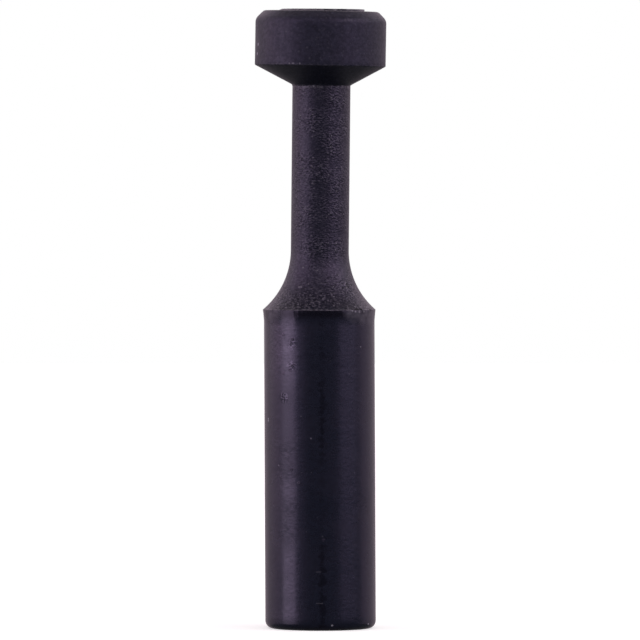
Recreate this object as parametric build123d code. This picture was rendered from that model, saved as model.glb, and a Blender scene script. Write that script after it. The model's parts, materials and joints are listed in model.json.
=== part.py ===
from build123d import *

import math
import os

# Push-fit blanking plug: one solid black plastic moulding.
# The stem goes into a push-fit socket in place of a tube end and seals it.
# The slim neck and the head stay outside, so that fingers can pull the plug out again.
# It stands on the flat end of its stem. Millimetres, +Z up, origin at the centre of that end.

# Stem: the gauge length that the socket's seal and collet close on
stem_diameter = 6.0
stem_length = 17.3
stem_end_round = 0.42

# Shoulder: the stem opens into a low skirt whose edge stands just proud of the stem
skirt_stand = 0.05
skirt_height = 0.6
skirt_edge_round = 0.03

# Flare: a hollow sweep from the shoulder's edge that runs tangent into the neck
flare_radius = 4.2

# Neck: the straight stretch between the flare and the head's cone
neck_diameter = 3.15
neck_length = 9.0
neck_root_round = 0.12

# Head: a cone below, a round side, and a bevel above
head_diameter = 7.1
head_side_height = 2.43
head_cone_angle = 28.0
head_edge_round = 0.07
head_bevel = 0.5
head_bevel_round = 0.16

# Pad: the low raised disc on top of the head, with a drafted side
pad_diameter = 4.7
pad_height = 0.11
pad_side_slope = 45.0
pad_edge_round = 0.03

# What follows from the sizes above
stem_radius = stem_diameter / 2
neck_radius = neck_diameter / 2
head_radius = head_diameter / 2
pad_radius = pad_diameter / 2
shoulder_radius = stem_radius + skirt_stand
flare_width = shoulder_radius - neck_radius
flare_height = math.sqrt(flare_radius**2 - (flare_radius - flare_width) ** 2)
cone_height = (head_radius - neck_radius) * math.tan(math.radians(head_cone_angle))
pad_side_run = pad_height / math.tan(math.radians(pad_side_slope))

# Heights of the rings where one surface meets the next, from the stem's end up
skirt_foot = stem_length - skirt_height
neck_foot = stem_length + flare_height
neck_top = neck_foot + neck_length
cone_top = neck_top + cone_height
bevel_foot = cone_top + head_side_height
head_top = bevel_foot + head_bevel
pad_top = head_top + pad_height


def half_section():
    """The outline of one side of the plug, from the axis at the stem's end to the axis at the pad."""
    with BuildSketch(Plane.XZ) as section:
        with BuildLine():
            Polyline(
                (0, 0),
                (stem_radius, 0),
                (stem_radius, skirt_foot),
                (shoulder_radius, stem_length),
            )
            RadiusArc(
                (shoulder_radius, stem_length),
                (neck_radius, neck_foot),
                flare_radius,
            )
            Polyline(
                (neck_radius, neck_foot),
                (neck_radius, neck_top),
                (head_radius, cone_top),
                (head_radius, bevel_foot),
                (head_radius - head_bevel, head_top),
                (pad_radius, head_top),
                (pad_radius - pad_side_run, pad_top),
                (0, pad_top),
                (0, 0),
            )
        make_face()
    return section.sketch


def ring(body, radius, height):
    """The circular edge of the body at that radius and height."""
    def distance(edge):
        return abs(edge.radius - radius) + abs(edge.arc_center.Z - height)

    return body.edges().filter_by(GeomType.CIRCLE).sort_by(distance)[0]


def blanking_plug():
    """The half section turned about the axis, with its moulded edges softened."""
    with BuildPart() as plug:
        add(half_section())
        revolve(axis=Axis.Z)
        softened_rings = (
            (stem_radius, 0, stem_end_round),
            (shoulder_radius, stem_length, skirt_edge_round),
            (neck_radius, neck_top, neck_root_round),
            (head_radius, cone_top, head_edge_round),
            (head_radius, bevel_foot, head_bevel_round),
            (head_radius - head_bevel, head_top, head_bevel_round),
            (pad_radius - pad_side_run, pad_top, pad_edge_round),
        )
        for radius, height, edge_round in softened_rings:
            fillet(ring(plug.part, radius, height), radius=edge_round)
    return plug.part


os.makedirs("parts", exist_ok=True)
export_step(blanking_plug(), "parts/plug.step")
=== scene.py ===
"""A push-fit blanking plug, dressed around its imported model, in a small plain studio."""

import json
import math
from functools import partial
from types import SimpleNamespace

import bmesh
import bpy
from bpy.props import FloatProperty, FloatVectorProperty, IntProperty, PointerProperty
from mathutils import Matrix, Vector, noise


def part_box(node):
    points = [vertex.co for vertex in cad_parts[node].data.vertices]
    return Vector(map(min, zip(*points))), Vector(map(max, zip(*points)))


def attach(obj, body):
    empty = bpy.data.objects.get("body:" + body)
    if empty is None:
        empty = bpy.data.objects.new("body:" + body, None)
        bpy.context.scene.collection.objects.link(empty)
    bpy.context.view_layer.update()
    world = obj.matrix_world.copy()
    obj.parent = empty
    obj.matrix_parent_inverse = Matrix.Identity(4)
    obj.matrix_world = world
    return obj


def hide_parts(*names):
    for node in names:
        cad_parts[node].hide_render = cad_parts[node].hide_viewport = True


bl_info = {
    "name": "Push-fit blanking plug",
    "version": (1, 0, 0),
    "blender": (4, 5, 0),
    "location": "3D View > Sidebar > Blanking plug",
    "description": "Models a black push-fit blanking plug and the studio it stands in",
    "category": "Mesh",
}

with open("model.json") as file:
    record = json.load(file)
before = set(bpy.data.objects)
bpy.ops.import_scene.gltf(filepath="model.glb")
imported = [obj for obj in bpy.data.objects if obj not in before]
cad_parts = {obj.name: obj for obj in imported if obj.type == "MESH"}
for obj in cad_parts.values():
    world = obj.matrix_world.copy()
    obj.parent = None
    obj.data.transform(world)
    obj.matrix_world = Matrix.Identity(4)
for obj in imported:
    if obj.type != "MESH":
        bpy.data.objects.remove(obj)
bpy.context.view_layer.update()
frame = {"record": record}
CAD_LOW, CAD_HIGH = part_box("plug")
STEM_MOUNT = next(m for m in frame["record"]["mounts"] if m["name"] == "stem")
MM = 0.001

# The stem's straight stretch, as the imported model's mount gives it
STEM_RADIUS = STEM_MOUNT["dims"]["r_mm"] * MM
STEM_HALF_RUN = STEM_MOUNT["dims"]["length_mm"] * MM / 2
STEM_RUN_FOOT = STEM_MOUNT["pos_m"][2] - STEM_HALF_RUN
STEM_RUN_TOP = STEM_MOUNT["pos_m"][2] + STEM_HALF_RUN

# Where the Python code of the panel and the operators finds the properties
PLUG_PROPERTIES = "blanking_plug"
STUDIO_PROPERTIES = "blanking_plug_studio"


class PlugProperties(bpy.types.PropertyGroup):
    """The plug's sizes and finish that a user would change."""

    stem_radius: FloatProperty(
        name="Stem radius",
        description="Radius of the straight stem that fills the socket",
        default=STEM_RADIUS,
        min=0.5 * MM,
        unit="LENGTH",
    )
    shoulder_height: FloatProperty(
        name="Shoulder height",
        description="Height of the shoulder's edge above the stem's end",
        default=STEM_RUN_TOP + 0.6 * MM,
        min=1 * MM,
        unit="LENGTH",
    )
    shoulder_stand: FloatProperty(
        name="Shoulder stand",
        description="How far the shoulder's edge stands out past the stem",
        default=0.05 * MM,
        min=0,
        unit="LENGTH",
    )
    flare_radius: FloatProperty(
        name="Flare radius",
        description="Radius of the hollow sweep from the shoulder into the neck",
        default=4.2 * MM,
        min=1 * MM,
        unit="LENGTH",
    )
    neck_radius: FloatProperty(
        name="Neck radius",
        description="Radius of the slim neck",
        default=1.575 * MM,
        min=0.3 * MM,
        unit="LENGTH",
    )
    neck_length: FloatProperty(
        name="Neck length",
        description="Length of the straight neck between the flare and the head",
        default=8.97 * MM,
        min=1 * MM,
        unit="LENGTH",
    )
    stem_lean: FloatProperty(
        name="Stem lean",
        description="Lean of the stem to the right of the front view",
        default=math.radians(-0.25),
        subtype="ANGLE",
    )
    neck_lean: FloatProperty(
        name="Neck lean",
        description="Lean of the neck to the right of the front view",
        default=math.radians(0.57),
        subtype="ANGLE",
    )
    head_lean: FloatProperty(
        name="Head lean",
        description="Lean of the head to the right of the front view",
        default=math.radians(0.95),
        subtype="ANGLE",
    )
    plastic_color: FloatVectorProperty(
        name="Plastic colour",
        description="Colour of the black plastic",
        subtype="COLOR",
        size=3,
        min=0,
        max=1,
        default=(0.0058, 0.0079, 0.0142),
    )
    sheen_tint: FloatVectorProperty(
        name="Sheen tint",
        description="Tint of the light that the plastic's surface throws back",
        subtype="COLOR",
        size=3,
        min=0,
        max=1,
        default=(0.81, 0.61, 0.98),
    )
    # Also the colour of the highlights painted along the shoulder's edge, the neck's root and the pad's edge
    scuff_and_highlight_color: FloatVectorProperty(
        name="Scuff colour",
        description="Colour of the pale rubbed edges and of the small pale specks",
        subtype="COLOR",
        size=3,
        min=0,
        max=1,
        default=(0.10, 0.092, 0.112),
    )
    stem_roughness: FloatProperty(
        name="Stem roughness",
        description="Roughness of the smooth stem",
        default=0.25,
        min=0,
        max=1,
        subtype="FACTOR",
    )
    grain_roughness: FloatProperty(
        name="Grain roughness",
        description="Roughness of the grained head, neck and flare",
        default=0.38,
        min=0,
        max=1,
        subtype="FACTOR",
    )
    steps_around: IntProperty(
        name="Steps around",
        description="Number of mesh steps around the plug",
        default=384,
        min=32,
        max=512,
    )


# The head and its pad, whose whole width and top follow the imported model
HEAD_RADIUS = (CAD_HIGH.x - CAD_LOW.x) / 2
HEAD_CONE_ANGLE = math.radians(28)
HEAD_BEVEL = 0.45 * MM
PAD_RADIUS = 2.35 * MM
PAD_HEIGHT = 0.11 * MM

# How far each corner of the outline is softened, measured along its sides from the corner
STEM_END_SOFTENING = STEM_RUN_FOOT
SHOULDER_SOFTENING = 0.015 * MM
NECK_ROOT_SOFTENING = 0.07 * MM
HEAD_EDGE_SOFTENING = 0.042 * MM
BEVEL_FOOT_SOFTENING = 0.18 * MM
BEVEL_TOP_SOFTENING = 0.1 * MM
PAD_SOFTENING = 0.02 * MM

# The mesh: steps along the flare, how far apart the rings of a long run are, and when two points are one
FLARE_STEPS = 24
RING_PITCH = 0.25 * MM
WELD_DISTANCE = 0.0001 * MM

# The cone carries the head this far to the left of the neck's line, and the pad isn't quite square on it
HEAD_SIDESTEP = 0.085 * MM
PAD_TURN = math.radians(-0.45)
PAD_SHIFT = 0.1 * MM

# The moulded edge of the shoulder: how uneven it is, out and up, and the one nick in it
SHOULDER_UNEVENNESS = 0.016 * MM
SHOULDER_FINE_WAVES = 31
SHOULDER_BROAD_WAVES = 9
SHOULDER_BROAD_SHARE = 0.6
SHOULDER_RISE_WAVES = 17
SHOULDER_RISE_SHARE = 0.8
SHOULDER_BROAD_SHIFT = Vector((0, 0, 4))
SHOULDER_RISE_SHIFT = Vector((0, 0, 9))
SHOULDER_NICK_BEARING = math.radians(47)
SHOULDER_NICK_HALF_WIDTH = 0.12 * MM
SHOULDER_NICK_DEPTH = 0.02 * MM

# The edge of the pad, a little uneven too
PAD_UNEVENNESS = 0.012 * MM
PAD_WAVES = 13


def neck_foot_height(plug):
    """The height at which the flare runs out into the straight neck."""
    flare_width = plug.stem_radius + plug.shoulder_stand - plug.neck_radius
    flare_height = math.sqrt(plug.flare_radius**2 - (plug.flare_radius - flare_width) ** 2)
    return plug.shoulder_height + flare_height


def neck_top_height(plug):
    """The height at which the neck meets the head's cone."""
    return neck_foot_height(plug) + plug.neck_length


def cone_top_height(plug):
    """The height of the head's lower edge, where the cone meets the round side."""
    return neck_top_height(plug) + (HEAD_RADIUS - plug.neck_radius) * math.tan(HEAD_CONE_ANGLE)


def radius_at(plug, height):
    """The plug's radius at a height on the stem, the flare, the neck or the head's side."""
    neck_foot = neck_foot_height(plug)
    if height < plug.shoulder_height:
        skirt_share = max(0, (height - STEM_RUN_TOP) / (plug.shoulder_height - STEM_RUN_TOP))
        return plug.stem_radius + plug.shoulder_stand * skirt_share
    if height < neck_foot:
        hollow = math.sqrt(plug.flare_radius**2 - (neck_foot - height) ** 2)
        return plug.neck_radius + plug.flare_radius - hollow
    return plug.neck_radius if height < neck_top_height(plug) else HEAD_RADIUS


def leant(plug, point):
    """Where a point of the upright plug comes to lie, with the small leans of the stem, neck and head."""
    neck_top = neck_top_height(plug)
    stem_run = min(point.z, plug.shoulder_height)
    neck_run = min(max(point.z, plug.shoulder_height), neck_top) - plug.shoulder_height
    shift = Vector((stem_run * math.tan(plug.stem_lean) + neck_run * math.tan(plug.neck_lean), 0, 0))
    if point.z <= neck_top:
        return point + shift
    foot = Vector((0, 0, neck_top))
    rise = min(1, (point.z - neck_top) / (cone_top_height(plug) - neck_top))
    tilted = foot + Matrix.Rotation(plug.head_lean, 3, "Y") @ (point - foot)
    return tilted + shift - Vector((HEAD_SIDESTEP * rise, 0, 0))


def outline_corners(plug):
    """The half outline's corners below and above the flare: radius, height, softening and segments."""
    shoulder_radius = plug.stem_radius + plug.shoulder_stand
    head_top = CAD_HIGH.z - PAD_HEIGHT
    bevel_foot = head_top - HEAD_BEVEL
    below = (
        (0, 0, 0, 0),
        (plug.stem_radius, 0, STEM_END_SOFTENING, 10),
        (plug.stem_radius, STEM_RUN_TOP, 0, 0),
        (shoulder_radius, plug.shoulder_height, SHOULDER_SOFTENING, 4),
    )
    above = (
        (plug.neck_radius, neck_top_height(plug), NECK_ROOT_SOFTENING, 6),
        (HEAD_RADIUS, cone_top_height(plug), HEAD_EDGE_SOFTENING, 5),
        (HEAD_RADIUS, bevel_foot, BEVEL_FOOT_SOFTENING, 6),
        (HEAD_RADIUS - HEAD_BEVEL, head_top, BEVEL_TOP_SOFTENING, 5),
        (PAD_RADIUS, head_top, 0, 0),
        (PAD_RADIUS - PAD_HEIGHT, CAD_HIGH.z, PAD_SOFTENING, 4),
        (0, CAD_HIGH.z, 0, 0),
    )
    return below, above


def half_outline(plug):
    """The half outline as a chain of edges in the XZ plane, its corners rounded and its long runs divided."""
    outline = bmesh.new()
    below, above = outline_corners(plug)
    corners = []
    last = None
    for radius, height, softening, segments in below:
        vert = outline.verts.new((radius, 0, height))
        if last:
            outline.edges.new((last, vert))
        corners.append((vert, softening, segments))
        last = vert
    neck_foot = neck_foot_height(plug)
    swept = bmesh.ops.spin(
        outline,
        geom=[last],
        cent=(plug.neck_radius + plug.flare_radius, 0, neck_foot),
        axis=(0, 1, 0),
        angle=math.asin((neck_foot - plug.shoulder_height) / plug.flare_radius),
        steps=FLARE_STEPS,
    )
    last = swept["geom_last"][0]
    for radius, height, softening, segments in above:
        vert = outline.verts.new((radius, 0, height))
        outline.edges.new((last, vert))
        corners.append((vert, softening, segments))
        last = vert
    for vert, softening, segments in corners:
        if softening:
            bmesh.ops.bevel(
                outline,
                geom=[vert],
                offset=softening,
                offset_type="OFFSET",
                segments=segments,
                profile=0.5,
                affect="VERTICES",
                material=-1,
            )
    for edge in outline.edges[:]:
        cuts = int(edge.calc_length() / RING_PITCH)
        if cuts:
            bmesh.ops.subdivide_edges(outline, edges=[edge], cuts=cuts)
    return outline


def turned_body(plug):
    """The half outline spun about the axis into a closed body, its poles merged and its faces outward."""
    body = half_outline(plug)
    bmesh.ops.spin(
        body,
        geom=body.verts[:] + body.edges[:],
        cent=(0, 0, 0),
        axis=(0, 0, 1),
        angle=math.tau,
        steps=plug.steps_around,
        use_merge=True,
    )
    bmesh.ops.remove_doubles(body, verts=body.verts[:], dist=WELD_DISTANCE)
    bmesh.ops.recalc_face_normals(body, faces=body.faces[:])
    return body


def make_edges_uneven(body, plug):
    """Makes the shoulder's moulded edge and the pad's edge slightly uneven, and nicks the shoulder once."""
    shoulder_reach = 1.5 * SHOULDER_SOFTENING
    pad_top = CAD_HIGH.z
    nick = Vector((math.sin(SHOULDER_NICK_BEARING), -math.cos(SHOULDER_NICK_BEARING), 0))
    for vert in body.verts:
        outward = Vector((vert.co.x, vert.co.y, 0))
        radius = outward.length
        if abs(vert.co.z - plug.shoulder_height) < shoulder_reach:
            outward.normalize()
            fine = noise.noise(outward * SHOULDER_FINE_WAVES)
            broad = noise.noise(outward * SHOULDER_BROAD_WAVES + SHOULDER_BROAD_SHIFT)
            rise = noise.noise(outward * SHOULDER_RISE_WAVES + SHOULDER_RISE_SHIFT)
            vert.co += outward * SHOULDER_UNEVENNESS * (fine + SHOULDER_BROAD_SHARE * broad)
            vert.co.z += SHOULDER_RISE_SHARE * SHOULDER_UNEVENNESS * rise
            from_nick = (outward - nick).length * radius
            if from_nick < SHOULDER_NICK_HALF_WIDTH:
                vert.co -= outward * SHOULDER_NICK_DEPTH * (1 - (from_nick / SHOULDER_NICK_HALF_WIDTH) ** 2)
        elif pad_top - vert.co.z < PAD_SOFTENING and radius > PAD_RADIUS - 3 * PAD_HEIGHT:
            outward.normalize()
            vert.co.z += PAD_UNEVENNESS * (noise.noise(outward * PAD_WAVES) - 0.5)


def lean_over(body, plug):
    """Sets the pad's top slightly askew, then gives the stem, neck and head their small leans."""
    pad_top = [vert for vert in body.verts if vert.co.z > CAD_HIGH.z - PAD_HEIGHT / 2]
    bmesh.ops.rotate(body, verts=pad_top, cent=(0, 0, CAD_HIGH.z), matrix=Matrix.Rotation(PAD_TURN, 3, "Y"))
    bmesh.ops.translate(body, verts=pad_top, vec=(PAD_SHIFT, 0, 0))
    for vert in body.verts:
        vert.co = leant(plug, vert.co)


# The materials

# The stretches that most values of a fine mottle and of a soft cloud lie in
MOTTLE_ENDS = (0.35, 0.65)
CLOUD_ENDS = (0.3, 0.7)

# Where a Mix node that mixes colours has its two colours and its result
MIX_FIRST = 6
MIX_SECOND = 7
MIX_RESULT = 2


def add_node(tree, kind, values=None, **settings):
    """A new node of that kind with those settings, each input set to a value or linked to a socket."""
    node = tree.nodes.new(kind)
    for name, value in settings.items():
        setattr(node, name, value)
    for name, value in (values or {}).items():
        if isinstance(value, bpy.types.NodeSocket):
            tree.links.new(value, node.inputs[name])
        else:
            node.inputs[name].default_value = value
    return node


def reckon(tree, operation, *values):
    """The result of a Math node on those numbers and sockets."""
    return add_node(tree, "ShaderNodeMath", dict(enumerate(values)), operation=operation).outputs[0]


def product(tree, first, second):
    """The two values multiplied."""
    return reckon(tree, "MULTIPLY", first, second)


def total(tree, start, *parts):
    """The start value plus each of those parts: a value and its weight."""
    for value, weight in parts:
        start = reckon(tree, "MULTIPLY_ADD", value, weight, start)
    return start


def strongest(tree, *patterns):
    """The greatest of those patterns at each point: each is given with its strength."""
    greatest = None
    for pattern, strength in patterns:
        share = product(tree, pattern, strength)
        greatest = reckon(tree, "MAXIMUM", greatest, share) if greatest else share
    return greatest


def spread(tree, value, low, high, start=0.0, end=1.0):
    """That value, spread from low and high to start and end, and held at both ends."""
    values = {"Value": value, "From Min": low, "From Max": high, "To Min": start, "To Max": end}
    return add_node(tree, "ShaderNodeMapRange", values).outputs["Result"]


def mottle(tree, place, across, along, detail=2.0, distortion=0.0, shift=0.0):
    """A soft random pattern around a half, with features of those sizes across and along the plug."""
    scale = (1 / across, 1 / across, 1 / along)
    values = {"Vector": place, "Location": (shift, shift, 0), "Scale": scale}
    moved = add_node(tree, "ShaderNodeMapping", values)
    values = {"Vector": moved.outputs["Vector"], "Scale": 1.0, "Detail": detail, "Distortion": distortion}
    return add_node(tree, "ShaderNodeTexNoise", values).outputs["Fac"]


def scattered_specks(tree, place, pitch, radius, share):
    """Small round specks strewn at about that pitch: 1 at a speck's middle, 0 past its radius."""
    cells = add_node(tree, "ShaderNodeTexVoronoi", {"Vector": place, "Scale": 1 / pitch})
    near = spread(tree, cells.outputs["Distance"], 0.3 * radius / pitch, radius / pitch, 1.0, 0.0)
    chosen = reckon(tree, "LESS_THAN", cells.outputs["Color"], share)
    return product(tree, near, chosen)


def distance_between(tree, place, spot):
    """How far the surface's points are from that spot."""
    return add_node(tree, "ShaderNodeVectorMath", {0: place, 1: spot}, operation="DISTANCE").outputs["Value"]


def placed_marks(tree, plug, place, marks, inner, outer):
    """Marks at those bearings (degrees) and heights (mm): 1 nearer than inner, 0 farther than outer."""
    nearest = None
    for bearing, height in marks:
        turn = math.radians(bearing)
        radius = radius_at(plug, height * MM)
        spot = leant(plug, Vector((radius * math.sin(turn), -radius * math.cos(turn), height * MM)))
        away = distance_between(tree, place, spot)
        nearest = reckon(tree, "MINIMUM", nearest, away) if nearest else away
    return spread(tree, nearest, inner, outer, 1.0, 0.0)


def dash_marks(dashes):
    """The marks in a row that make up those level dashes: bearings of both ends, and height."""
    marks = []
    for start, end, height in dashes:
        gaps = math.ceil((end - start) / DASH_PITCH)
        marks += [(start + (end - start) * gap / gaps, height) for gap in range(gaps + 1)]
    return marks


def level_of(tree, place, slope=0.0):
    """The height of the surface's points, taken along a level that falls to the right by that slope."""
    values = {0: place, 1: (slope, 0, 1)}
    return add_node(tree, "ShaderNodeVectorMath", values, operation="DOT_PRODUCT").outputs["Value"]


def away_from_line(tree, place, x, y):
    """The level distance of the surface's points from the upright line at x, y."""
    flat = add_node(tree, "ShaderNodeMapping", {"Vector": place, "Scale": (1, 1, 0)}).outputs["Vector"]
    return distance_between(tree, flat, (x, y, 0))


def pale_edge_line(tree, place, height, half_width, waver, unevenness, slope=0.0):
    """A thin uneven line around the plug at that height: 1 on the line, 0 past its half width."""
    wander = mottle(tree, place, across=0.7 * MM, along=5 * MM)
    wander = spread(tree, wander, *CLOUD_ENDS, height - waver, height + waver)
    away = reckon(tree, "ABSOLUTE", reckon(tree, "SUBTRACT", level_of(tree, place, slope), wander))
    line = spread(tree, away, 0.4 * half_width, half_width, 1.0, 0.0)
    breaks = mottle(tree, place, across=0.25 * MM, along=5 * MM, shift=3.0)
    return product(tree, line, spread(tree, breaks, 0.5 - unevenness, 0.5 + unevenness))


def mixed(tree, share, first, second):
    """The first colour where share is 0, the second where it is 1."""
    values = {"Factor": share, MIX_FIRST: first, MIX_SECOND: second}
    return add_node(tree, "ShaderNodeMix", values, data_type="RGBA").outputs[MIX_RESULT]


def shade_of(color, gain=1.0):
    """That property's colour, made darker or lighter, as a node's socket takes it."""
    return tuple(gain * channel for channel in color) + (1.0,)


def clouded(tree, plug, cloud, dark_gain, light_gain):
    """The plastic's colour in soft clouds, from a darker to a lighter shade."""
    dark, light = (shade_of(plug.plastic_color, gain) for gain in (dark_gain, light_gain))
    return mixed(tree, cloud, dark, light)


def new_material(name):
    """An empty material, its node tree, and the place on the surface in object coordinates."""
    material = bpy.data.materials.new(name)
    material.use_nodes = True
    tree = material.node_tree
    tree.nodes.clear()
    return material, tree, add_node(tree, "ShaderNodeTexCoord").outputs["Object"]


def finish_plastic(tree, plug, color, roughness, relief, sheen, dull):
    """The plastic's shader: its relief is in millimetres, and dull takes its sheen away where it is 1."""
    bump = add_node(tree, "ShaderNodeBump", {"Height": relief, "Strength": 1.0, "Distance": MM})
    values = {
        "Base Color": color,
        "Roughness": roughness,
        "Specular IOR Level": spread(tree, dull, 0.0, 1.0, sheen, DULL_SHEEN),
        "Specular Tint": shade_of(plug.sheen_tint),
        "Normal": bump.outputs["Normal"],
    }
    shader = add_node(tree, "ShaderNodeBsdfPrincipled", values)
    add_node(tree, "ShaderNodeOutputMaterial", {"Surface": shader.outputs["BSDF"]})


# How dark or light the black is against its own colour: in clouds, at its darkest where shade is painted, in
# flecks and in blotches
DARK_CLOUD_GAIN = 0.8
LIGHT_CLOUD_GAIN = 1.2
DARK_NECK_CLOUD_GAIN = 0.75
LIGHT_NECK_CLOUD_GAIN = 1.3
DARKEST_GAIN = 0.25
STEM_FLECK_GAIN = 2.2
HEAD_FLECK_GAIN = 2.0
HEAD_BLOTCH_GAIN = 2.4

# How much paler than the scuffs the small specks are: the stem's, its brightest, the neck's and the head's
SPECK_GAIN = 1.9
BRIGHT_SPECK_GAIN = 2.8
NECK_SPECK_GAIN = 1.4
HEAD_SPECK_GAIN = 2.7

# How strongly each stretch of the plug mirrors: the shader's specular level
STEM_SHEEN = 0.49
FLARE_FOOT_SHEEN = 0.37
NECK_SHEEN = 0.49
HEAD_SHEEN = 0.42
DULL_SHEEN = 0.08

# How far up the flare its duller foot reaches
FLARE_FOOT_REACH = 2.4 * MM

# How far the sheen swings to both sides in the stem's fine hairs, the neck's ripples and the head's grain
HAIR_SWING = 0.13
RIPPLE_SWING = 0.085
GRAIN_SWING = 0.075

# Small marks and patches: bearing in degrees to the right of the front, and height in millimetres
STEM_PITS = (
    (-40, 16.0), (-29, 15.75), (-31, 15.5), (-29, 14.3), (-32, 14.1), (-40, 13.9), (-42, 12.7), (-39, 12.5),
    (-31, 8.7), (-44, 8.3), (-22, 8.0), (3.5, 4.9), (118, 11.2), (160, 13.0), (204, 6.1), (-130, 9.0),
)
STEM_SCARS = ((-29, 15.5), (-30, 14.3), (-40, 12.6), (165, 12))
STEM_SPECKS = ((-9, 10.4), (-48, 8.9), (48, 15.3), (80, 3.0), (150, 9.0), (215, 12.4))
BRIGHT_SPECKS = ((-68, 11.4), (-68, 11.3), (12, 0.3), (60, 0.3), (-140, 0.3))
DULL_PATCHES = ((-34, 9.6), (-36, 8.6), (-33, 6.6), (-35, 5.4), (41, 0.4), (52, 7.0), (95, 13), (-150, 6))
GLOSSY_PATCHES = ((-35, 16.1), (-36, 15.2), (-35, 14.3), (110, 12), (-110, 6))
POLISHED_PATCHES = ((-35, 15.1), (-36, 7.6), (-34, 3.7), (-35, 2.4), (-36, 1.1), (150, 4), (-160, 11))
SKIRT_SCUFFS = (
    (33, 17.2), (39, 17.0), (45, 17.15), (51, 16.9), (57, 17.1), (64, 16.9), (71, 17.1), (78, 17.0),
    (-52, 17.15), (-60, 17.05), (190, 17.2), (205, 17.1),
)
SHOULDER_SPECKS = (
    (36, 17.26), (40, 17.22), (45.5, 17.2), (52.5, 17.22), (43, 17.49), (52, 17.5), (63, 17.45), (-68, 17.4),
)
# Dark marks at small nicks along the shoulder's edge: painted shade in the nicks
SHOULDER_CHIPS = (
    (42.5, 17.36), (44, 17.34), (47.5, 17.36), (49, 17.34), (65, 17.33), (67, 17.31), (142, 17.3),
    (-128, 17.31),
)
GRAIN_PATCHES = (
    (-20, 20.8), (5, 20.9), (30, 20.6), (-25, 17.8), (-10, 17.8), (5, 17.9), (45, 18.5), (42, 22.5),
    (38, 24.2), (30, 26.0), (12, 24.6), (-8, 24.8), (-30, 22.3), (-36, 25.2), (-24, 27.4), (35, 28.6),
    (60, 27.2), (150, 26), (-140, 22), (100, 24), (-95, 27), (180, 19),
)
# Pale specks on the neck and flare; the three at 29.4 mm, on the neck's root, are painted highlights
NECK_SPECKS = (
    (-72, 17.76), (-68, 17.9), (-64, 17.7), (-60, 17.85), (-55, 17.6), (49, 18.6), (46, 18.75), (44, 18.5),
    (-32, 19.6), (-32, 18.55), (-28.5, 18.56), (75, 17.6), (170, 18.2), (45, 29.4), (-15, 29.4),
    (-120, 29.4),
)
HEAD_SPECKS = ((-72, 31.6), (-74, 31.1), (140, 31.8))
HEAD_EDGE_MARKS = ((-28, 30.6), (-25, 30.6), (-24, 30.6), (-18, 30.6), (110, 30.6))
HEAD_SCUFFS = ((22, 32.98), (25, 33.0), (28, 32.98), (-35, 33.1), (-150, 32.9), (95, 33.0))

# The painted dark streak down the stem's front, a painted dark reflection: its bearing, and the places where
# it fades
STREAK_BEARING = math.radians(1.4)
STREAK_GAPS = ((1, 17.0), (1, 15.9), (1, 14.2), (1, 8.6), (1, 7.6), (1, 6.6), (1, 5.7), (1, 5.2))

# Short level dashes on the stem: bearings of both ends and height, and the degrees between their marks
STEM_DASHES = ((-4, 0, 3.2), (-4, 2, 1.5), (-20, -19, 11.6), (120, 122, 8.0))
DASH_PITCH = 1.4


def painted_stem_streak(tree, plug, place):
    """The painted dark streak down the stem's front, a painted dark reflection, uneven in width and faded in
    places.
    """
    x, y = plug.stem_radius * math.sin(STREAK_BEARING), -plug.stem_radius * math.cos(STREAK_BEARING)
    uneven = mottle(tree, place, across=0.6 * MM, along=0.3 * MM, detail=3.0)
    half_width = spread(tree, uneven, *MOTTLE_ENDS, -0.05 * MM, 0.28 * MM)
    inside = reckon(tree, "SUBTRACT", half_width, away_from_line(tree, place, x, y))
    faded = placed_marks(tree, plug, place, STREAK_GAPS, inner=0.2 * MM, outer=1.1 * MM)
    painted_streak = spread(tree, inside, -0.06 * MM, 0.08 * MM)
    return product(tree, painted_streak, spread(tree, faded, 0.0, 1.0, 1.0, 0.2))


def stem_scars(tree, plug, place):
    """Small patches of crooked lines in the stem's highlight: 1 on a line, and below 0 beside it."""
    patches = placed_marks(tree, plug, place, STEM_SCARS, inner=0.2 * MM, outer=0.4 * MM)
    crooked = mottle(tree, place, across=0.17 * MM, along=0.17 * MM, detail=0.0, distortion=0.3, shift=9.0)
    from_line = reckon(tree, "ABSOLUTE", reckon(tree, "SUBTRACT", crooked, 0.5))
    return product(tree, patches, spread(tree, from_line, 0.02, 0.1, 1.0, -0.5))


def skirt_scuffs(tree, plug, place):
    """Patchy pale scuffs on the skirt under the shoulder."""
    scuffs = placed_marks(tree, plug, place, SKIRT_SCUFFS, inner=0.12 * MM, outer=0.5 * MM)
    patchy = mottle(tree, place, across=0.4 * MM, along=0.25 * MM, detail=3.0)
    return product(tree, scuffs, spread(tree, patchy, 0.3, 0.65, 0.3, 1.0))


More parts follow.
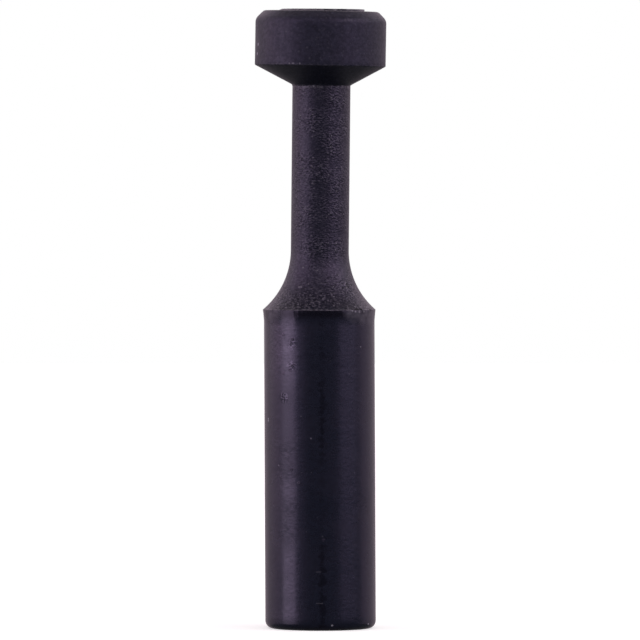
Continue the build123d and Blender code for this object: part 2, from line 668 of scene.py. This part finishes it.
def stem_patterns(tree, plug, place):
    """The stem's clouds, grain and marks by name: shares from 0 to 1, apart from the scars."""
    marks = partial(placed_marks, tree, plug, place)
    level = level_of(tree, place)
    scuffs = skirt_scuffs(tree, plug, place)
    # Painted shade under the shoulder's edge, left out where the skirt is scuffed
    under_shoulder = spread(tree, level, STEM_RUN_TOP + 0.05 * MM, STEM_RUN_TOP + 0.35 * MM)
    return SimpleNamespace(
        cloud=mottle(tree, place, across=1.3 * MM, along=1.6 * MM, detail=3.0),
        wave=mottle(tree, place, across=0.9 * MM, along=0.8 * MM, detail=1.0, shift=7.0),
        fine=mottle(tree, place, across=0.24 * MM, along=0.17 * MM, detail=2.0),
        hairs=mottle(tree, place, across=0.28 * MM, along=0.09 * MM, detail=1.5, shift=4.0),
        dust=scattered_specks(tree, place, pitch=0.6 * MM, radius=0.04 * MM, share=0.5),
        dots=scattered_specks(tree, place, pitch=0.85 * MM, radius=0.07 * MM, share=0.5),
        specks=marks(STEM_SPECKS, inner=0.01 * MM, outer=0.06 * MM),
        bright_specks=marks(BRIGHT_SPECKS, inner=0.03 * MM, outer=0.075 * MM),
        pits=marks(STEM_PITS, inner=0.01 * MM, outer=0.1 * MM),
        dashes=marks(dash_marks(STEM_DASHES), inner=0.01 * MM, outer=0.045 * MM),
        gloss=marks(GLOSSY_PATCHES, inner=0.1 * MM, outer=1.7 * MM),
        polish=marks(POLISHED_PATCHES, inner=0.2 * MM, outer=0.9 * MM),
        worn=marks(DULL_PATCHES, inner=0.2 * MM, outer=1.0 * MM),
        shaded_chips=marks(SHOULDER_CHIPS, inner=0.05 * MM, outer=0.1 * MM),
        rubs=marks(SHOULDER_SPECKS, inner=0.01 * MM, outer=0.08 * MM),
        scars=stem_scars(tree, plug, place),
        # Painted dark reflection down the stem's front
        painted_streak=painted_stem_streak(tree, plug, place),
        scuffs=scuffs,
        shade=product(tree, under_shoulder, reckon(tree, "SUBTRACT", 1.0, scuffs)),
        foot=spread(tree, level, 0.25 * MM, 0.75 * MM, 1.0, 0.0),
    )


def stem_color(tree, plug, stem):
    """Clouded black, darkest in the painted dark streak and in the painted shade under the shoulder, with
    pale scuffs, dashes and specks.
    """
    color = clouded(tree, plug, stem.cloud, DARK_CLOUD_GAIN, LIGHT_CLOUD_GAIN)
    flecks = product(tree, spread(tree, stem.fine, *MOTTLE_ENDS), 0.3)
    color = mixed(tree, flecks, color, shade_of(plug.plastic_color, STEM_FLECK_GAIN))
    # Painted shade: the dark streak, under the shoulder and in the chips
    darkest = strongest(tree, (stem.painted_streak, 0.6), (stem.shade, 0.8), (stem.shaded_chips, 1.0))
    color = mixed(tree, darkest, color, shade_of(plug.plastic_color, DARKEST_GAIN))
    paled = strongest(tree, (stem.dashes, 0.5), (stem.dust, 0.3), (stem.scuffs, 0.6))
    color = mixed(tree, paled, color, shade_of(plug.scuff_and_highlight_color))
    specked = strongest(tree, (stem.specks, 0.5), (stem.dots, 0.17), (stem.rubs, 1.0))
    color = mixed(tree, specked, color, shade_of(plug.scuff_and_highlight_color, SPECK_GAIN))
    return mixed(tree, stem.bright_specks, color, shade_of(plug.scuff_and_highlight_color, BRIGHT_SPECK_GAIN))


def stem_roughness(tree, plug, stem):
    """Cloudy, smoother where the stem is polished and rougher on the scuffs."""
    smooth = plug.stem_roughness
    roughness = spread(tree, stem.cloud, *CLOUD_ENDS, smooth + 0.05, smooth - 0.03)
    polished = strongest(tree, (stem.gloss, 1.0), (stem.polish, 1.0))
    return total(tree, roughness, (polished, -0.04), (stem.scuffs, 0.1))


def stem_sheen(tree, stem):
    """Uneven where the stem was handled, with fine hairs and the scars in its highlight."""
    handled = strongest(tree, (stem.worn, 1.0), (stem.gloss, 1.0), (stem.polish, 1.0))
    flecked = product(tree, handled, spread(tree, stem.hairs, *MOTTLE_ENDS, -HAIR_SWING, HAIR_SWING))
    handling = ((stem.gloss, 0.27), (stem.polish, 0.11), (stem.worn, -0.08))
    return total(tree, STEM_SHEEN, *handling, (flecked, 1.0), (stem.scars, 0.5))


def stem_plastic(plug):
    """The smooth stem: slightly glossy, with an uneven sheen, a painted dark streak, painted shade under the
    shoulder, pits, scars and specks.
    """
    material, tree, place = new_material("smooth_stem_plastic")
    stem = stem_patterns(tree, plug, place)
    pit_rings = reckon(tree, "PINGPONG", stem.pits, 0.5)
    lumps = ((pit_rings, 0.02), (stem.specks, 0.012), (stem.rubs, 0.02))
    finish_plastic(
        tree,
        plug,
        color=stem_color(tree, plug, stem),
        roughness=stem_roughness(tree, plug, stem),
        relief=total(tree, 0.0, (stem.wave, 0.006), (stem.fine, 0.005), *lumps),
        sheen=stem_sheen(tree, stem),
        dull=strongest(tree, (stem.painted_streak, 0.3), (stem.shade, 0.24), (stem.foot, 0.5), (stem.shaded_chips, 1.0)),
    )
    return material


def grain_strength(tree, plug, place):
    """How strongly the neck and flare are grained: in patches, and most low on the flare."""
    patches = mottle(tree, place, across=0.9 * MM, along=1.1 * MM, detail=1.0, shift=5.0)
    coarse = placed_marks(tree, plug, place, GRAIN_PATCHES, inner=0.3 * MM, outer=0.9 * MM)
    patches = total(tree, spread(tree, patches, 0.38, 0.62, 0.45, 1.0), (coarse, 0.6))
    flare_ends = (plug.shoulder_height, neck_foot_height(plug))
    return product(tree, patches, spread(tree, level_of(tree, place), *flare_ends, 1.5, 1.05))


def neck_patterns(tree, plug, place):
    """The neck's and flare's clouds, ripples, grains, marks and rubbed lines by name."""
    marks = partial(placed_marks, tree, plug, place)
    strength = grain_strength(tree, plug, place)
    ripples = mottle(tree, place, across=0.14 * MM, along=0.085 * MM, detail=1.5, distortion=0.2)
    grains = scattered_specks(tree, place, pitch=0.19 * MM, radius=0.06 * MM, share=0.26)
    # Painted highlight along the shoulder's moulded edge
    painted_shoulder_highlight = pale_edge_line(
        tree,
        place,
        height=plug.shoulder_height + 0.02 * MM,
        half_width=0.045 * MM,
        waver=0.03 * MM,
        unevenness=0.12,
    )
    # Painted highlight on the fillet where the neck meets the head
    painted_root_highlight = pale_edge_line(
        tree,
        place,
        height=neck_top_height(plug) - 0.1 * MM,
        half_width=0.1 * MM,
        waver=0.04 * MM,
        unevenness=0.1,
    )
    return SimpleNamespace(
        strength=strength,
        cloud=mottle(tree, place, across=1.6 * MM, along=1.2 * MM, detail=3.0),
        ripples=ripples,
        crests=product(tree, spread(tree, ripples, 0.53, 0.68), strength),
        # Painted shade in the ripples' hollows
        painted_hollow_shade=product(tree, spread(tree, ripples, 0.34, 0.44, 1.0, 0.0), strength),
        grains=product(tree, grains, strength),
        specks=marks(NECK_SPECKS, inner=0.01 * MM, outer=0.075 * MM),
        shaded_chips=marks(SHOULDER_CHIPS, inner=0.05 * MM, outer=0.1 * MM),
        rubs=marks(SHOULDER_SPECKS, inner=0.02 * MM, outer=0.08 * MM),
        painted_shoulder_highlight=painted_shoulder_highlight,
        painted_root_highlight=painted_root_highlight,
    )


def neck_color(tree, plug, neck, dull):
    """Clouded black with pale crests and grains, two pale lines painted as highlights on the shoulder's edge
    and the neck's root, and painted shade in the hollows and chips.
    """
    color = clouded(tree, plug, neck.cloud, DARK_NECK_CLOUD_GAIN, LIGHT_NECK_CLOUD_GAIN)
    grained = total(tree, neck.grains, (neck.crests, 0.3))
    # Pale grains, and the two painted highlights
    paled = strongest(tree, (grained, 1.0), (neck.painted_shoulder_highlight, 0.9), (neck.painted_root_highlight, 0.8))
    color = mixed(tree, paled, color, shade_of(plug.scuff_and_highlight_color))
    specked = strongest(tree, (neck.specks, 1.0), (neck.rubs, 1.0))
    color = mixed(tree, specked, color, shade_of(plug.scuff_and_highlight_color, NECK_SPECK_GAIN))
    return mixed(tree, dull, color, shade_of(plug.plastic_color, DARKEST_GAIN))


def neck_plastic(plug):
    """The grained neck and flare: short wavy ripples across, bright grains, and two pale lines painted as
    highlights on the shoulder's edge and the neck's root.
    """
    material, tree, place = new_material("grained_neck_plastic")
    neck = neck_patterns(tree, plug, place)
    # Painted shade in the hollows and the chips: a darker colour and less sheen
    dull = strongest(tree, (neck.shaded_chips, 1.0), (neck.painted_hollow_shade, 0.3))
    rough = plug.grain_roughness
    grained = product(tree, neck.ripples, neck.strength)
    foot_ends = (plug.shoulder_height, plug.shoulder_height + FLARE_FOOT_REACH)
    sheen = spread(tree, level_of(tree, place), *foot_ends, FLARE_FOOT_SHEEN, NECK_SHEEN)
    swing = spread(tree, neck.ripples, *MOTTLE_ENDS, -RIPPLE_SWING, RIPPLE_SWING)
    finish_plastic(
        tree,
        plug,
        color=neck_color(tree, plug, neck, dull),
        roughness=spread(tree, neck.cloud, *CLOUD_ENDS, rough - 0.04, rough + 0.04),
        relief=total(tree, 0.0, (grained, 0.029), (neck.grains, 0.02), (neck.specks, 0.02)),
        sheen=total(tree, sheen, (swing, neck.strength)),
        dull=dull,
    )
    return material


def pad_edge_highlight(tree, plug, place, slope):
    """The pale line on the pad's edge: a painted highlight."""
    line = pale_edge_line(
        tree,
        place,
        height=CAD_HIGH.z - 0.4 * PAD_HEIGHT,
        half_width=0.05 * MM,
        waver=0.02 * MM,
        unevenness=0.06,
        slope=slope,
    )
    middle = leant(plug, Vector((PAD_SHIFT, 0, CAD_HIGH.z)))
    off_axis = away_from_line(tree, place, middle.x, middle.y)
    rim = spread(tree, off_axis, PAD_RADIUS - 1.6 * PAD_HEIGHT, PAD_RADIUS - 1.2 * PAD_HEIGHT)
    return product(tree, line, rim)


def head_patterns(tree, plug, place, slope):
    """The head's clouds, grain, marks and rubbed lines by name."""
    marks = partial(placed_marks, tree, plug, place)
    edge_line = pale_edge_line(
        tree,
        place,
        height=cone_top_height(plug) + 0.02 * MM,
        half_width=0.05 * MM,
        waver=0.01 * MM,
        unevenness=0.1,
        slope=slope,
    )
    return SimpleNamespace(
        cloud=mottle(tree, place, across=1.2 * MM, along=0.9 * MM, detail=3.0),
        grain=mottle(tree, place, across=0.2 * MM, along=0.17 * MM, detail=2.0),
        blotches=mottle(tree, place, across=0.5 * MM, along=0.35 * MM, detail=2.0, shift=2.0),
        flecks=scattered_specks(tree, place, pitch=0.5 * MM, radius=0.05 * MM, share=0.5),
        dust=scattered_specks(tree, place, pitch=0.17 * MM, radius=0.06 * MM, share=0.5),
        dots=scattered_specks(tree, place, pitch=0.45 * MM, radius=0.09 * MM, share=0.5),
        specks=marks(HEAD_SPECKS, inner=0.04 * MM, outer=0.11 * MM),
        edge_marks=marks(HEAD_EDGE_MARKS, inner=0.02 * MM, outer=0.07 * MM),
        scuffs=marks(HEAD_SCUFFS, inner=0.02 * MM, outer=0.14 * MM),
        edge_line=edge_line,
        painted_pad_highlight=pad_edge_highlight(tree, plug, place, slope),
    )


def head_color(tree, plug, head):
    """Clouded and blotched black with strewn pale specks, a paler line along its lower edge and a painted
    highlight along the pad's edge.
    """
    color = clouded(tree, plug, head.cloud, DARK_CLOUD_GAIN, LIGHT_CLOUD_GAIN)
    grained = product(tree, spread(tree, head.grain, *MOTTLE_ENDS), 0.3)
    color = mixed(tree, grained, color, shade_of(plug.plastic_color, HEAD_FLECK_GAIN))
    blotched = spread(tree, head.blotches, 0.5, 0.7, 0.0, 0.25)
    color = mixed(tree, blotched, color, shade_of(plug.plastic_color, HEAD_BLOTCH_GAIN))
    strewn = ((head.flecks, 0.3), (head.dust, 0.16), (head.dots, 0.22))
    # The pad's pale line is a painted highlight
    pale_lines_and_scuffs = ((head.edge_line, 0.3), (head.painted_pad_highlight, 1.0), (head.scuffs, 0.3))
    color = mixed(tree, strongest(tree, *strewn, *pale_lines_and_scuffs), color, shade_of(plug.scuff_and_highlight_color))
    specked = strongest(tree, (head.specks, 1.0), (head.edge_marks, 0.36))
    return mixed(tree, specked, color, shade_of(plug.scuff_and_highlight_color, HEAD_SPECK_GAIN))


def head_plastic(plug):
    """The head: a fine even grain in tone and sheen, with faint blotches, pale specks, a pale line along its
    lower edge and a painted highlight on the pad's edge.
    """
    material, tree, place = new_material("grained_head_plastic")
    slope = math.tan(plug.head_lean)
    head = head_patterns(tree, plug, place, slope)
    rough = plug.grain_roughness
    bevel_foot = CAD_HIGH.z - PAD_HEIGHT - HEAD_BEVEL
    off_bevel = reckon(tree, "ABSOLUTE", reckon(tree, "SUBTRACT", level_of(tree, place, slope), bevel_foot))
    finish_plastic(
        tree,
        plug,
        color=head_color(tree, plug, head),
        roughness=spread(tree, head.cloud, *CLOUD_ENDS, rough + 0.03, rough + 0.1),
        relief=total(tree, 0.0, (head.grain, 0.008), (head.specks, 0.02)),
        sheen=spread(tree, head.grain, *MOTTLE_ENDS, HEAD_SHEEN - GRAIN_SWING, HEAD_SHEEN + GRAIN_SWING),
        dull=spread(tree, off_bevel, 0.06 * MM, 0.22 * MM, 0.18, 0.0),
    )
    return material


class PLUG_OT_mould(bpy.types.Operator):
    """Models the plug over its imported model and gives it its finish"""

    bl_idname = "blanking_plug.mould"
    bl_label = "Mould the plug"

    def execute(self, context):
        plug = getattr(context.scene, PLUG_PROPERTIES)
        body = turned_body(plug)
        upper_feet = (plug.shoulder_height, neck_top_height(plug))
        for face in body.faces:
            face.smooth = True
            height = face.calc_center_median().z
            face.material_index = sum(height >= foot for foot in upper_feet)
        make_edges_uneven(body, plug)
        lean_over(body, plug)
        mesh = bpy.data.meshes.new("moulded_plug")
        body.to_mesh(mesh)
        body.free()
        piece = bpy.data.objects.new("moulded_plug", mesh)
        context.scene.collection.objects.link(piece)
        for material in (stem_plastic(plug), neck_plastic(plug), head_plastic(plug)):
            mesh.materials.append(material)
        piece.modifiers.new("weighted_normals", "WEIGHTED_NORMAL")
        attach(piece, "root")
        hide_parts("plug")
        return {"FINISHED"}


# The studio


class StudioProperties(bpy.types.PropertyGroup):
    """The studio's light that a user would change."""

    surround: FloatProperty(
        name="Surround",
        description="Brightness of the white surround that lights the plug, where 1 is white",
        default=1.0,
        min=0,
    )
    cards: FloatProperty(
        name="Cards",
        description="Brightness of all light cards together, where 1 leaves each as it is set",
        default=1.0,
        min=0,
    )


# Curved cards around the plug: how far off they stand, how finely they are bent, and their tints
CARD_RADIUS = 0.6
CARD_STEP = math.radians(5)
WHITE = (1.0, 1.0, 1.0)
BLUSH = (1.0, 0.86, 0.97)
PALE_BLUSH = (1.0, 0.94, 0.98)
ROSE = (1.0, 0.84, 0.94)
COOL = (0.88, 0.90, 1.0)
WARM = (1.0, 0.88, 0.84)

# Each card: name, bearings of both ends in degrees to the right of the front, foot and top in metres,
# brightness and tint. The dim ones are flags, which hold the white surround off the plug.
CARDS = (
    ("front_flag", -30, 42, 0.0, 0.13, 0.07, COOL),
    ("left_soft_edge", -46, -30, 0.0, 0.13, 0.65, COOL),
    ("left_strip_front", -54, -46, 0.0, 0.15, 1.75, COOL),
    ("left_strip", -74, -54, 0.0, 0.15, 2.4, WHITE),
    ("left_strip_back", -81, -74, 0.0, 0.15, 2.1, WHITE),
    ("left_wall", -104, -82, 0.0, 0.15, 1.85, BLUSH),
    ("left_far_wall", -125, -104, 0.0, 0.15, 1.4, BLUSH),
    ("left_upper_box", -115, -40, 0.15, 0.54, 1.5, BLUSH),
    ("right_low_box", 42, 80, 0.0, 0.13, 1.25, COOL),
    ("right_flag", 80, 125, 0.0, 0.13, 0.65, BLUSH),
    ("right_upper_box", 25, 105, 0.13, 0.54, 2.2, PALE_BLUSH),
    ("back_wall", 125, 235, 0.0, 0.15, 0.62, ROSE),
    ("back_upper_wall", 125, 235, 0.15, 0.54, 1.0, ROSE),
    ("left_low_board", -85, -53, -0.22, 0.0, 1.72, WHITE),
    ("back_low_board", 95, 265, -0.22, 0.0, 0.47, ROSE),
    ("front_low_flag", -53, 95, -0.22, 0.0, 0.1, COOL),
    ("side_low_flag", 265, 275, -0.22, 0.0, 0.4, WHITE),
)

# Round cards over and under the plug: name, radius and height in metres, brightness and tint
ROUND_CARDS = (
    ("ceiling", 0.45, 0.45, 0.47, WARM),
    ("dark_table", 0.6, -0.22, 0.14, WHITE),
)


def glow(name, brightness, tint):
    """A plain glowing material."""
    material = bpy.data.materials.new(name)
    material.use_nodes = True
    tree = material.node_tree
    tree.nodes.clear()
    light = add_node(tree, "ShaderNodeEmission", {"Color": (*tint, 1), "Strength": brightness})
    add_node(tree, "ShaderNodeOutputMaterial", {"Surface": light.outputs["Emission"]})
    return material


def add_stage_piece(context, name, body, material):
    """A piece of the studio made from a bmesh, which isn't part of the plug."""
    mesh = bpy.data.meshes.new(name)
    body.to_mesh(mesh)
    body.free()
    mesh.materials.append(material)
    piece = bpy.data.objects.new(name, mesh)
    context.scene.collection.objects.link(piece)
    return piece


def bent_card(start, end, foot, top):
    """A card bent round the plug between two bearings."""
    body = bmesh.new()
    start, end = math.radians(start), math.radians(end)
    x, y = CARD_RADIUS * math.sin(start), -CARD_RADIUS * math.cos(start)
    side = body.edges.new((body.verts.new((x, y, foot)), body.verts.new((x, y, top))))
    bmesh.ops.spin(
        body,
        geom=[*side.verts, side],
        cent=(0, 0, 0),
        axis=(0, 0, 1),
        angle=end - start,
        steps=math.ceil((end - start) / CARD_STEP),
    )
    return body


def disc(radius, height):
    """A flat round sheet at that height."""
    body = bmesh.new()
    bmesh.ops.create_circle(body, cap_ends=True, segments=96, radius=radius)
    bmesh.ops.translate(body, verts=body.verts, vec=(0, 0, height))
    return body


def add_card(context, studio, name, body, brightness, tint):
    """A glowing card that lights the plug and that the camera doesn't see."""
    card = add_stage_piece(context, name, body, glow(name, brightness * studio.cards, tint))
    card.visible_camera = False


# The floor's size in metres, how white its paper is, and how much it glows of itself
FLOOR_RADIUS = 0.5
PAPER_WHITE = (0.8, 0.8, 0.8, 1)
PAPER_GLOW = 0.5


def add_floor(context):
    """The white floor, which the camera alone sees, with the plug's shadow on it."""
    material = bpy.data.materials.new("white_paper")
    material.use_nodes = True
    tree = material.node_tree
    tree.nodes.clear()
    paper = add_node(tree, "ShaderNodeBsdfDiffuse", {"Color": PAPER_WHITE})
    shine = add_node(tree, "ShaderNodeEmission", {"Color": (1, 1, 1, 1), "Strength": PAPER_GLOW})
    both = add_node(tree, "ShaderNodeAddShader", {0: paper.outputs["BSDF"], 1: shine.outputs["Emission"]})
    add_node(tree, "ShaderNodeOutputMaterial", {"Surface": both.outputs["Shader"]})
    floor = add_stage_piece(context, "floor", disc(FLOOR_RADIUS, 0), material)
    floor.visible_glossy = False
    floor.visible_diffuse = False


def light_world(context, studio):
    """A white world for the camera, gloss and glass, which lights all else as the surround is set."""
    world = bpy.data.worlds.new("studio")
    context.scene.world = world
    world.use_nodes = True
    tree = world.node_tree
    tree.nodes.clear()
    path = add_node(tree, "ShaderNodeLightPath").outputs
    seen = reckon(tree, "ADD", path["Is Camera Ray"], path["Is Glossy Ray"])
    seen = reckon(tree, "ADD", seen, path["Is Transmission Ray"])
    strength = spread(tree, seen, 0.0, 1.0, studio.surround, 1.0)
    light = add_node(tree, "ShaderNodeBackground", {"Color": (1, 1, 1, 1), "Strength": strength})
    add_node(tree, "ShaderNodeOutputWorld", {"Surface": light.outputs["Background"]})


# The camera, which frames the plug as the photo does
CAMERA_PLACE = (-0.033 * MM, -0.462, 0.0276)
CAMERA_PITCH = math.radians(1.3484)
CAMERA_LENS = 479.15


def add_camera(context):
    """A long lens level with the plug, which looks very slightly down."""
    camera = bpy.data.objects.new("camera", bpy.data.cameras.new("camera"))
    context.scene.collection.objects.link(camera)
    camera.location = CAMERA_PLACE
    camera.rotation_euler = (math.radians(90) - CAMERA_PITCH, 0, 0)
    camera.data.sensor_width = 36
    camera.data.lens = CAMERA_LENS
    camera.data.clip_start = 0.01
    camera.data.clip_end = 10
    context.scene.camera = camera


class PLUG_OT_stage(bpy.types.Operator):
    """Builds the floor, the light cards, the white surround and the camera"""

    bl_idname = "blanking_plug.stage"
    bl_label = "Set the stage"

    def execute(self, context):
        studio = getattr(context.scene, STUDIO_PROPERTIES)
        add_floor(context)
        for name, *edges, brightness, tint in CARDS:
            add_card(context, studio, name, bent_card(*edges), brightness, tint)
        for name, radius, height, brightness, tint in ROUND_CARDS:
            add_card(context, studio, name, disc(radius, height), brightness, tint)
        light_world(context, studio)
        add_camera(context)
        context.scene.view_settings.view_transform = "Standard"
        return {"FINISHED"}


class PLUG_PT_sidebar(bpy.types.Panel):
    """Lists the plug's sizes, finish and operators"""

    bl_label = "Blanking plug"
    bl_idname = "PLUG_PT_sidebar"
    bl_space_type = "VIEW_3D"
    bl_region_type = "UI"
    bl_category = "Blanking plug"

    def draw(self, context):
        for group in (PLUG_PROPERTIES, STUDIO_PROPERTIES):
            values = getattr(context.scene, group)
            for name in values.__annotations__:
                self.layout.prop(values, name)
        self.layout.operator(PLUG_OT_mould.bl_idname)
        self.layout.operator(PLUG_OT_stage.bl_idname)


CLASSES = (PlugProperties, StudioProperties, PLUG_OT_mould, PLUG_OT_stage, PLUG_PT_sidebar)


def register():
    for item in CLASSES:
        bpy.utils.register_class(item)
    setattr(bpy.types.Scene, PLUG_PROPERTIES, PointerProperty(type=PlugProperties))
    setattr(bpy.types.Scene, STUDIO_PROPERTIES, PointerProperty(type=StudioProperties))


def unregister():
    delattr(bpy.types.Scene, STUDIO_PROPERTIES)
    delattr(bpy.types.Scene, PLUG_PROPERTIES)
    for item in reversed(CLASSES):
        bpy.utils.unregister_class(item)


def main():
    register()
    bpy.ops.blanking_plug.mould()
    bpy.ops.blanking_plug.stage()


if __name__ == "__main__":
    main()
